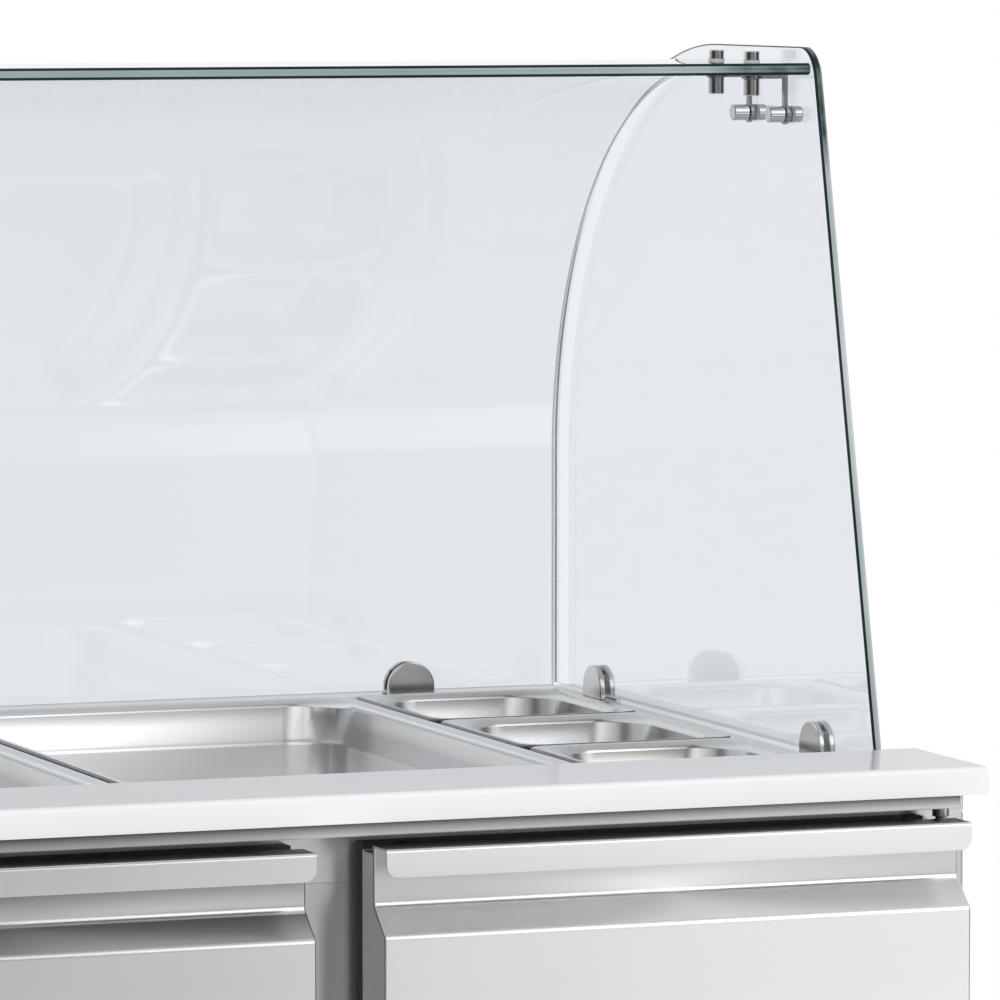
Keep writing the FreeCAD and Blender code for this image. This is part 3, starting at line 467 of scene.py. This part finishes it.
def pan(name, mat, wall_r):
    """Pan from inset, height over the rim and share of the wall's corner radius, ring by ring."""
    lo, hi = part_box(name)
    x0 = lo.x / MM + RIM_INSET_X
    x1 = hi.x / MM - RIM_INSET_X
    y0 = lo.y / MM + RIM_INSET_Y
    y1 = hi.y / MM - RIM_INSET_Y
    top = TOP_Z + RIM_T
    low = TOP_Z - PAN_DEPTH
    inside = [(0.0, -RIM_T + 0.8, 0), (0.0, -1.6, 0), (0.5, -0.5, 0), (1.4, 0.0, 0), (BEAD_X, 0.0, 0.1)]
    for k in range(1, 9):
        a = math.radians(90 * k / 8)
        inside.append((BEAD_X + BEAD_W * math.sin(a), BEAD_H * math.cos(a) - BEAD_H, 0.1 + 0.9 * k / 8))
    inside += [(11.6, -28.0, 1), (13.8, -30.2, 1), (14.4, -33.0, 1)]
    floor_z = low + 1.0 - top
    for k in range(7):
        a = math.radians(90 * k / 6)
        inside.append((WALL_FOOT + COVE_R * (1 - math.cos(a)), floor_z + COVE_R * (1 - math.sin(a)), 1))

    def ring(inset, dz, mix, extra=0.0):
        r = RIM_R + (wall_r - RIM_R) * mix - max(0.0, inset - 12.0) * 0.7
        i = inset - extra
        return ring_points(x0 + i, x1 - i, y0 + i, y1 - i, max(r + extra, 4.0), top + dz)

    under = []
    for inset, dz, mix in reversed(inside[4:]):
        under.append(ring(inset, dz - PAN_SHEET, mix, PAN_SHEET))
    under = [[(px, py, max(pz, low)) for px, py, pz in loop] for loop in under]
    under.append(ring(6.0, -RIM_T + 0.2, 0.0))
    loops = under + [ring(inset, dz, mix) for inset, dz, mix in inside]
    bm = bmesh.new()
    outer = len(under)
    # The rim's underside, outer side and outer rounding take the second material, painted dark as shade.
    rings(bm, loops, (outer - 1, outer, outer + 1, outer + 2))
    obj = make(name + "_look", bm, [mat, rim_shade_steel], 0.0, 50.0)
    use(obj, name, "pan_steel", name)


for name in ("pan_left", "pan_middle"):
    pan(name, pan_steel, WALL_R)
for name in ("pan_sixth_front", "pan_sixth_middle", "pan_sixth_rear"):
    pan(name, small_pan_steel, WALL_R_SIXTH)


# Doors: folded skin with a grip recess, and the lip over it

DOOR_FACE = -374.0
DOOR_BACK = -331.0
GRIP_Y = -353.0
GRIP_Z0 = 775.0
GRIP_Z1 = 792.5
DOOR_STEP_Y = -350.0
DOOR_STEP_Z = 826.0
LIP_Y = -376.0
LIP_Z = 813.0
LIP_SHEET = 1.4
LIP_CORNER = 8.0
LIP_STEPS = 10
CREASE_H = 1.7


def flat_height(face):
    """Height of a face in mm; a bend's faces are low."""
    heights = [v.co.z / MM for v in face.verts]
    return max(heights) - min(heights)


def door(side):
    """Door skin with its bends, and the lip with rounded lower corners."""
    lo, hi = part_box("door_" + side + "_skin")
    x0 = lo.x / MM
    x1 = hi.x / MM
    z0 = lo.z / MM
    z1 = hi.z / MM
    under_lip = z1 - 0.4
    outline = [(DOOR_BACK, z0), (DOOR_FACE, z0), (DOOR_FACE, GRIP_Z0), (GRIP_Y, GRIP_Z1),
               (GRIP_Y, under_lip), (DOOR_STEP_Y, under_lip), (DOOR_STEP_Y, DOOR_STEP_Z),
               (DOOR_BACK, DOOR_STEP_Z)]
    radii = [0, 2.0, 5.0, 7.0, 0, 0, 0, 0]
    points = rounded([(y, z, 0) for y, z in outline], radii)
    bm = bmesh.new()
    prism(bm, [(p.x, p.y) for p in points], lambda y, z: (x0, y, z), (x1 - x0, 0, 0))
    for face in bm.faces:
        middle = face.calc_center_median() / MM
        # Recess faces take the door's recess steel, painted lighter on the right door and darker upwards
        # on the left.
        if abs(middle.y - GRIP_Y) < 0.2 and middle.z > GRIP_Z1:
            face.material_index = 1
        # End faces take the steel painted darker as shade.
        elif abs(middle.x - x0) < 0.1 or abs(middle.x - x1) < 0.1:
            face.material_index = 2
        # Narrow bend faces take the steel painted lighter as a highlight.
        elif flat_height(face) < CREASE_H and middle.y < DOOR_STEP_Y:
            face.material_index = 3
        elif GRIP_Z0 < middle.z < GRIP_Z1:
            face.material_index = 4
    coats = [brushed, recess_steel[side], door_side_shaded_steel, crease_lit_steel, slant_steel[side]]
    skin = make("door_" + side + "_skin_look", bm, coats, 0.0011)
    use(skin, "door_" + side, "stainless", "door_" + side + "_skin")

    lip_top = z1
    x0 += 0.5
    x1 -= 0.5
    bm = bmesh.new()
    back = DOOR_STEP_Y
    inner_y = LIP_Y + LIP_SHEET
    inner_z = lip_top - LIP_SHEET
    section = rounded([(back, lip_top, 0), (LIP_Y, lip_top, 0), (LIP_Y, LIP_Z, 0), (inner_y, LIP_Z, 0),
                       (inner_y, inner_z, 0), (back, inner_z, 0)], [0, 2.2, 0, 0, 0.8, 0])
    r = LIP_CORNER
    xs = []
    for k in range(LIP_STEPS + 1):
        a = math.radians(90 * k / LIP_STEPS)
        xs.append((x0 + r - r * math.cos(a), LIP_Z + r - r * math.sin(a)))
    ends = xs + [(x1 - (x - x0), z) for x, z in reversed(xs)]
    rows = []
    for x, floor in ends:
        rows.append([bm.verts.new(Vector((x, p.x, max(p.y, floor))) * MM) for p in section])
    for a, b in zip(rows, rows[1:]):
        n = len(a)
        for i in range(n):
            bm.faces.new((a[i], a[(i + 1) % n], b[(i + 1) % n], b[i]))
    bm.faces.new(rows[0])
    bm.faces.new(list(reversed(rows[-1])))
    for face in bm.faces:
        middle = face.calc_center_median() / MM
        if middle.z > lip_top - 0.1 and middle.y > LIP_Y + 2.5:
            face.material_index = 1
        # The lip's rounded top-front faces take the steel painted lighter as a highlight.
        elif middle.z > lip_top - 2.3 and flat_height(face) < 1.0:
            face.material_index = 2
    lip = make("door_" + side + "_lip", bm, [brushed, shaded_steel, crease_lit_steel], 0.0004)
    use(lip, "door_" + side, "stainless")


door("left")
door("right")


# Glass: bent canopy and two side panels, ground edges in their own materials, with painted shade and a
# painted glow on them

def arc(cy, cz, r, start, end, steps):
    out = []
    for k in range(steps + 1):
        a = math.radians(start + (end - start) * k / steps)
        out.append((cy + r * math.cos(a), cz + r * math.sin(a)))
    return out


BEND_R = 290.0
BEND_Y = 60.0
BEND_Z = 1023.5
CANOPY_T = 8.0
CANOPY_HALF_W = 420.5
CANOPY_FRONT = -127.0
GLASS_Z = 850.0
GLASS = 6.0
SIDE_IN = 427.0
SIDE_MARGIN = 18.5
SIDE_FOOT_Y = -226.0
SIDE_HEAD_Y = -114.5
SIDE_CORNER_R = 26.0
ARRIS = 0.9
DARK = 1.8


def canopy():
    """Bent sheet: path up the back, round the bend and forward, with ground edges, its arrises painted
    dark as shade and its fine edges given a painted glow.
    """
    path = [((BEND_Y + BEND_R, GLASS_Z), (1.0, 0.0))]
    for k in range(49):
        a = math.radians(90 * k / 48)
        ny = math.cos(a)
        nz = math.sin(a)
        path.append(((BEND_Y + BEND_R * ny, BEND_Z + BEND_R * nz), (ny, nz)))
    path.append(((CANOPY_FRONT, BEND_Z + BEND_R), (0.0, 1.0)))
    last = len(path) - 1
    bm = bmesh.new()
    layers = []
    for t, inset in ((0, ARRIS), (DARK, 0), (CANOPY_T - DARK, 0), (CANOPY_T, ARRIS)):
        w = CANOPY_HALF_W - inset
        rows = []
        for i, ((y, z), (ny, nz)) in enumerate(path):
            py = y + ny * t + (inset if i == last else 0)
            pz = z + nz * t + (inset if i == 0 else 0)
            rows.append([bm.verts.new(Vector((x, py, pz)) * MM) for x in (-w, w)])
        layers.append(rows)
    for rows in (layers[0], layers[-1]):
        for a, b in zip(rows, rows[1:]):
            bm.faces.new((a[0], a[1], b[1], b[0]))
    # The ends and the bottom edge take the painted glow; the front edge has a ground middle between two
    # arrises painted dark as shade.
    for k in range(3):
        low = layers[k]
        high = layers[k + 1]
        for i in range(last):
            for e in (0, 1):
                face = bm.faces.new((low[i][e], low[i + 1][e], high[i + 1][e], high[i][e]))
                face.material_index = 3
        for i in (0, last):
            face = bm.faces.new((low[i][0], low[i][1], high[i][1], high[i][0]))
            face.material_index = 3 if i == 0 else (1 if k == 1 else 2)
    obj = make("canopy_glass_look", bm, [glass_clear, canopy_edge, shaded_glass_arris, glowing_glass_line], 0.0, 30.0)
    use(obj, "cabinet", "glass", "canopy_glass")


def shrunk(points, by):
    """Outline moved inwards by a small step, whichever way round its points run."""
    n = len(points)
    area = 0.0
    for (y0, z0), (y1, z1) in zip(points, points[1:] + points[:1]):
        area += y0 * z1 - y1 * z0
    turn = 1 if area > 0 else -1
    out = []
    for i in range(n):
        before = Vector(points[i]) - Vector(points[i - 1])
        after = Vector(points[(i + 1) % n]) - Vector(points[i])
        n0 = Vector((-before.y, before.x)).normalized() * turn
        n1 = Vector((-after.y, after.x)).normalized() * turn
        mid = (n0 + n1).normalized()
        out.append(Vector(points[i]) + mid * (by / max(mid.dot(n0), 0.3)))
    return [(p.x, p.y) for p in out]


def side_glasses():
    """Flat side sheets that follow the canopy's outline at a margin."""
    head = BEND_Z + BEND_R + SIDE_MARGIN
    back = BEND_Y + BEND_R + SIDE_MARGIN
    front_edge = [(SIDE_FOOT_Y, GLASS_Z, 0), (SIDE_HEAD_Y, head, 0), (20, head, 0)]
    corner = rounded(front_edge, [0, SIDE_CORNER_R, 0], 14)[1:-1]
    outline = [(SIDE_FOOT_Y, GLASS_Z)] + [(p.x, p.y) for p in corner]
    outline += list(reversed(arc(BEND_Y, BEND_Z, BEND_R + SIDE_MARGIN, 0, 90, 48))) + [(back, GLASS_Z)]
    inner = shrunk(outline, ARRIS)
    n = len(outline)
    bm = bmesh.new()
    for s in (-1, 1):
        rows = []
        for x, ring in ((0, inner), (DARK, outline), (GLASS - ARRIS, outline), (GLASS, inner)):
            rows.append([bm.verts.new(Vector((s * (SIDE_IN + x), y, z)) * MM) for y, z in ring])
        bm.faces.new(rows[0])
        bm.faces.new(list(reversed(rows[3])))
        for k in range(3):
            for i in range(n):
                j = (i + 1) % n
                face = bm.faces.new((rows[k][i], rows[k + 1][i], rows[k + 1][j], rows[k][j]))
                # The bottom edge takes the painted glow, the inward arris the painted shade.
                face.material_index = 3 if i == n - 1 else (2, 1, 1)[k]
    obj = make("side_glass_look", bm, [glass_clear, side_edge, shaded_glass_arris, glowing_glass_line], 0.0, 30.0)
    use(obj, "cabinet", "glass", "side_glasses")


canopy()
side_glasses()


# Glass fittings

CLAMP_R = 18.0
CLAMP_T = 4.5
CLAMP_RISE = 6.0
CLAMP_X = 305.0
CLAMP_Y = (280.0, -125.0)
CANOPY_IN = BEND_Y + BEND_R
PAD_T = 0.5


def clamps():
    """Half-round cheeks each side of the glass: direction along the glass, place and gap of each clamp."""
    r = CLAMP_R
    outline = [(-r, 0)] + list(reversed(arc(0, CLAMP_RISE, r, 0, 180, 32))) + [(r, 0)]
    spots = [((1, 0), (CLAMP_X, CANOPY_IN), CANOPY_T), ((1, 0), (-CLAMP_X, CANOPY_IN), CANOPY_T)]
    for y in CLAMP_Y:
        spots += [((0, -1), (SIDE_IN, y), GLASS), ((0, 1), (-SIDE_IN, y), GLASS)]
    bm = bmesh.new()
    for (ux, uy), (px, py), gap in spots:
        out = (-uy, ux)
        for start in (-CLAMP_T - PAD_T, gap + PAD_T):
            def lift(a, z, ux=ux, uy=uy, px=px, py=py, out=out, start=start):
                return px + ux * a + out[0] * start, py + uy * a + out[1] * start, TOP_Z + z
            prism(bm, outline, lift, (out[0] * CLAMP_T, out[1] * CLAMP_T, 0))
    obj = make("clamp_cheeks_look", bm, [satin], 0.0009)
    use(obj, "cabinet", "satin_steel", "clamp_cheeks")


LINK_X = 400.0
LINK_Y = (-10.0, -73.0)
UNDER = BEND_Z + BEND_R
OVER = UNDER + CANOPY_T
LINK_Z = UNDER - 28.0
SLEEVE_R = 5.6
SLEEVE_H = 6.5
NUT_H = 11.5
WASHER_T = 1.0
LINK_BAR = 2.5
EYE_R = 7.0
ARM_HALF = 2.5


def disc(r, steps=40):
    return [(r * math.cos(math.tau * k / steps), r * math.sin(math.tau * k / steps)) for k in range(steps)]


def eye_outline(reach):
    """Round eye at the origin with a narrow arm along +X."""
    start = math.asin(ARM_HALF / EYE_R)
    points = []
    for k in range(29):
        a = start + (math.tau - 2 * start) * k / 28
        points.append((EYE_R * math.cos(a), EYE_R * math.sin(a)))
    return points + [(reach, -ARM_HALF), (reach, ARM_HALF)]


def links():
    """Angle bars under the canopy with sleeves on both sides of each glass."""
    sleeves = bmesh.new()
    turned = disc(SLEEVE_R)
    bars = bmesh.new()
    bar_top = UNDER - WASHER_T
    bar_low = bar_top - LINK_BAR
    leg_out = SIDE_IN - WASHER_T
    leg_in = leg_out - LINK_BAR
    for s in (-1, 1):
        for y in LINK_Y:
            for z, h in ((bar_low - NUT_H, NUT_H), (OVER + WASHER_T, SLEEVE_H)):
                prism(sleeves, turned, lambda a, b, s=s, y=y, z=z: (s * LINK_X + a, y + b, z), (0, 0, h))
            for x, h in ((leg_in - NUT_H, NUT_H), (SIDE_IN + GLASS + WASHER_T, SLEEVE_H)):
                prism(sleeves, turned, lambda a, b, s=s, y=y, x=x: (s * x, y + a, LINK_Z + b),
                      (s * h, 0, 0))
            arm = eye_outline(leg_out - LINK_X)
            prism(bars, arm, lambda a, b, s=s, y=y: (s * (LINK_X + a), y + b, bar_low), (0, 0, LINK_BAR))
            leg = eye_outline(bar_low - LINK_Z)
            prism(bars, leg, lambda a, b, s=s, y=y: (s * leg_in, y + b, LINK_Z + a),
                  (s * LINK_BAR, 0, 0))
    obj = make("link_sleeves_look", sleeves, [bright_steel], 0.0007)
    use(obj, "cabinet", "satin_steel", "link_sleeves", "link_studs")
    obj = make("link_bars_look", bars, [bar_steel], 0.0003)
    use(obj, "cabinet", "satin_steel", "link_bars")


clamps()
links()

for name in nodes:
    mesh = nodes[name].data
    mesh.polygons.foreach_set("use_smooth", [True] * len(mesh.polygons))
    mesh.set_sharp_from_angle(angle=math.radians(30))


# Stage, light and camera

def world_light():
    """White to the camera and through glass, soft light, bright and dark sides in reflections."""
    world = bpy.data.worlds.new("studio")
    bpy.context.scene.world = world
    world.use_nodes = True
    tree = world.node_tree
    link = tree.links.new
    where = tree.nodes.new("ShaderNodeTexCoord")
    split = tree.nodes.new("ShaderNodeSeparateXYZ")
    link(where.outputs["Generated"], split.inputs["Vector"])
    height = spread(tree, split.outputs["Z"], 0.0, 1.0, -1.0, 1.0)
    across = spread(tree, split.outputs["X"], 0.0, 1.0, -1.0, 1.0)
    soft = ramp_of(tree, height, ((0.0, 0.55), (0.45, 0.85), (0.55, 0.95), (0.75, 0.75), (1.0, 0.6)))
    tall_stops = ((0.0, 0.30), (0.33, 0.40), (0.37, 1.4), (0.435, 1.4), (0.45, 0.55), (0.55, 0.55),
                  (0.60, 1.0), (0.66, 1.7), (0.82, 1.7), (0.90, 0.65), (1.0, 0.65))
    front_stops = ((0.0, 0.10), (0.16, 0.10), (0.22, 0.45), (0.36, 0.50), (0.42, 0.60), (0.53, 0.60),
                   (0.56, 0.10), (0.62, 0.14), (0.645, 0.34), (0.685, 1.4), (0.73, 1.4),
                   (0.79, 0.75), (0.86, 0.60), (0.90, 0.12), (1.0, 0.12))
    tall = ramp_of(tree, height, tall_stops)
    front = ramp_of(tree, across, front_stops)
    back_left = ramp_of(tree, across, ((0.0, 0.4), (0.15, 1.05), (0.60, 1.05), (1.0, 0.2)))
    back_right = ramp_of(tree, height, ((0.0, 0.8), (0.52, 1.0), (0.55, 0.85), (0.80, 0.6), (1.0, 0.6)))
    rear = blend_colors(tree, "MIX", spread(tree, across, 0.0, 1.0, 0.47, 0.58), back_left, back_right)
    ahead = spread(tree, split.outputs["Y"], 1.0, 0.0, -0.15, 0.15)
    faced = blend_colors(tree, "MULTIPLY", 1.0, tall, front)
    shiny = blend_colors(tree, "MIX", ahead, rear, faced)
    path = tree.nodes.new("ShaderNodeLightPath")
    mirrored = add(tree, "ShaderNodeMath", operation="MINIMUM")
    mirrored.inputs[1].default_value = 1.0
    link(path.outputs["Glossy Depth"], mirrored.inputs[0])
    lit = blend_colors(tree, "MIX", mirrored.outputs["Value"], soft, shiny)
    through = add(tree, "ShaderNodeMath", operation="SUBTRACT")
    through.use_clamp = True
    link(path.outputs["Is Transmission Ray"], through.inputs[0])
    link(mirrored.outputs["Value"], through.inputs[1])
    seen = add(tree, "ShaderNodeMath", operation="MAXIMUM")
    link(path.outputs["Is Camera Ray"], seen.inputs[0])
    link(through.outputs["Value"], seen.inputs[1])
    sky = blend_colors(tree, "MIX", seen.outputs["Value"], lit, (1, 1, 1, 1))
    link(sky, tree.nodes["Background"].inputs["Color"])


def area_light(name, place, target, size, power):
    data = bpy.data.lights.new(name, "AREA")
    data.shape = "RECTANGLE"
    data.size = size[0]
    data.size_y = size[1]
    data.energy = power
    lamp = bpy.data.objects.new(name, data)
    bpy.context.scene.collection.objects.link(lamp)
    lamp.location = place
    lamp.visible_camera = False
    lamp.visible_glossy = False
    lamp.visible_transmission = False
    lamp.rotation_euler = (Vector(target) - Vector(place)).to_track_quat("-Z", "Y").to_euler()


FLOOR_R = 3.2
FLOOR_FADE = (1.3, 3.0)


def floor():
    """Pale disc that carries the shadow and fades out into the white."""
    bm = bmesh.new()
    bm.faces.new([bm.verts.new((x, y, 0)) for x, y in disc(FLOOR_R, 96)])
    mesh = bpy.data.meshes.new("floor")
    bm.to_mesh(mesh)
    bm.free()
    obj = bpy.data.objects.new("floor", mesh)
    bpy.context.scene.collection.objects.link(obj)
    mat, tree, bsdf = new_material("floor_white")
    grain = noise(tree, (2.0, 2.0, 2.0))
    tree.links.new(tint(tree, grain, (0.86, 0.86, 0.86), (0.89, 0.89, 0.89)), bsdf.inputs["Base Color"])
    bsdf.inputs["Roughness"].default_value = 0.7
    where = add(tree, "ShaderNodeTexCoord")
    far = add(tree, "ShaderNodeVectorMath", operation="LENGTH")
    tree.links.new(where.outputs["Object"], far.inputs[0])
    tree.links.new(spread(tree, far.outputs["Value"], 1.0, 0.0, *FLOOR_FADE), bsdf.inputs["Alpha"])
    mesh.materials.append(mat)


CAMERA_PLACE = (-1513.0, -4611.0, 1406.0)
CAMERA_YAW = 20.05
FOCAL_PIXELS = 7150.0
AIM_RIGHT = 100.0
AIM_DOWN = 560.0
FRAME_PIXELS = 1000.0
SENSOR = 36.0


def photo_camera():
    """Camera found from the pans and the door edges, in pixels of the square frame."""
    data = bpy.data.cameras.new("photo_camera")
    cam = bpy.data.objects.new("photo_camera", data)
    bpy.context.scene.collection.objects.link(cam)
    yaw = math.radians(CAMERA_YAW)
    ahead = Vector((math.sin(yaw), math.cos(yaw), 0))
    right = Vector((math.cos(yaw), -math.sin(yaw), 0))
    aim = ahead * FOCAL_PIXELS + right * AIM_RIGHT + Vector((0, 0, -AIM_DOWN))
    cam.location = Vector(CAMERA_PLACE) * MM
    cam.rotation_euler = aim.to_track_quat("-Z", "Y").to_euler()
    data.sensor_width = SENSOR
    data.lens = SENSOR * aim.length / FRAME_PIXELS
    data.clip_start = 0.05
    data.clip_end = 60.0
    bpy.context.scene.camera = cam


world_light()
floor()
area_light("key", (-2.2, -4.6, 2.2), (0, 0, 0.85), (3.0, 2.2), 64)
area_light("fill", (2.8, -4.4, 1.9), (0, 0, 0.8), (2.6, 2.2), 48)
photo_camera()
bpy.context.scene.view_settings.view_transform = "Standard"
